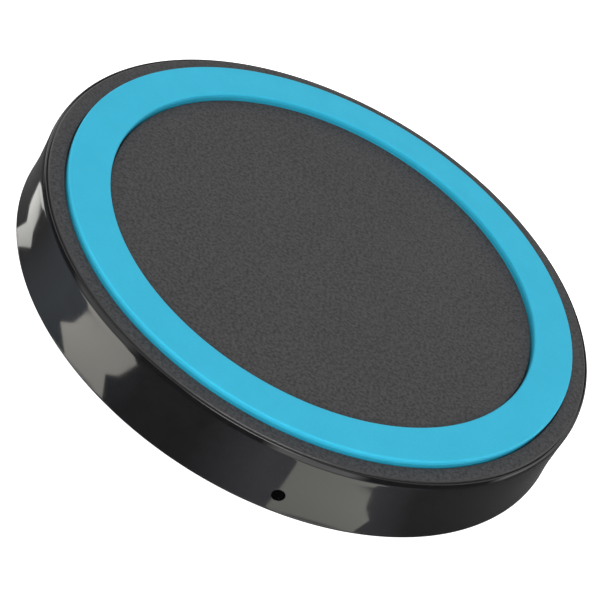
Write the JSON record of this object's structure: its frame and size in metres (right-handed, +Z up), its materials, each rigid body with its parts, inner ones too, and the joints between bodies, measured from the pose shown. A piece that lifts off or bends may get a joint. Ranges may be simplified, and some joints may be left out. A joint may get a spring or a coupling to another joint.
{
  "type": "wireless charging pad",
  "caption": "Flat round wireless charging pad: matte deck with a raised soft ring, gloss side wall with a status light hole, and a power inlet at the rear.",
  "frame": {"origin": "on the pad's axis, in the plane that the four feet stand on", "axes": "+Z up along the pad's axis, -Y towards the status light, +Y towards the power inlet"},
  "size_m": [0.07, 0.07, 0.0102],
  "materials": {
    "matte_black_plastic": "matte",
    "gloss_black_plastic": "gloss",
    "blue_soft_plastic": "matte",
    "black_rubber": "matte",
    "zinc_plated_steel": "satin",
    "adhesive_tape": "satin",
    "litz_copper": "satin",
    "sintered_ferrite": "satin",
    "insulating_paper": "matte",
    "circuit_laminate": "satin",
    "tin_plated_steel": "satin",
    "black_moulded_resin": "satin",
    "gold_plated_contact": "polished",
    "tan_ceramic": "satin",
    "clear_led_resin": "gloss"
  },
  "bodies": {
    "root": {"bottom_shell": "gloss_black_plastic", "top_cover": "matte_black_plastic", "grip_ring": "blue_soft_plastic", "coil_tape": "adhesive_tape", "transmitter_coil": "litz_copper", "ferrite_plate": "sintered_ferrite", "insulator_sheet": "insulating_paper", "circuit_board": "circuit_laminate", "controller_ic": "black_moulded_resin", "mosfet_1": "black_moulded_resin", "mosfet_2": "black_moulded_resin", "signal_amplifier": "black_moulded_resin", "voltage_regulator": "black_moulded_resin", "current_sense_resistor": "black_moulded_resin", "input_capacitor_1": "tan_ceramic", "input_capacitor_2": "tan_ceramic", "status_led": "clear_led_resin", "usb_shell": "tin_plated_steel", "usb_insulator": "black_moulded_resin", "foot_1": "black_rubber", "screw_1": "zinc_plated_steel", "resonant_capacitor_1": "tan_ceramic", "foot_2": "black_rubber", "screw_2": "zinc_plated_steel", "resonant_capacitor_2": "tan_ceramic", "foot_3": "black_rubber", "screw_3": "zinc_plated_steel", "resonant_capacitor_3": "tan_ceramic", "foot_4": "black_rubber", "screw_4": "zinc_plated_steel", "resonant_capacitor_4": "tan_ceramic", "usb_contact_1": "gold_plated_contact", "usb_contact_2": "gold_plated_contact", "usb_contact_3": "gold_plated_contact", "usb_contact_4": "gold_plated_contact", "usb_contact_5": "gold_plated_contact"}
  },
  "joints": []
}
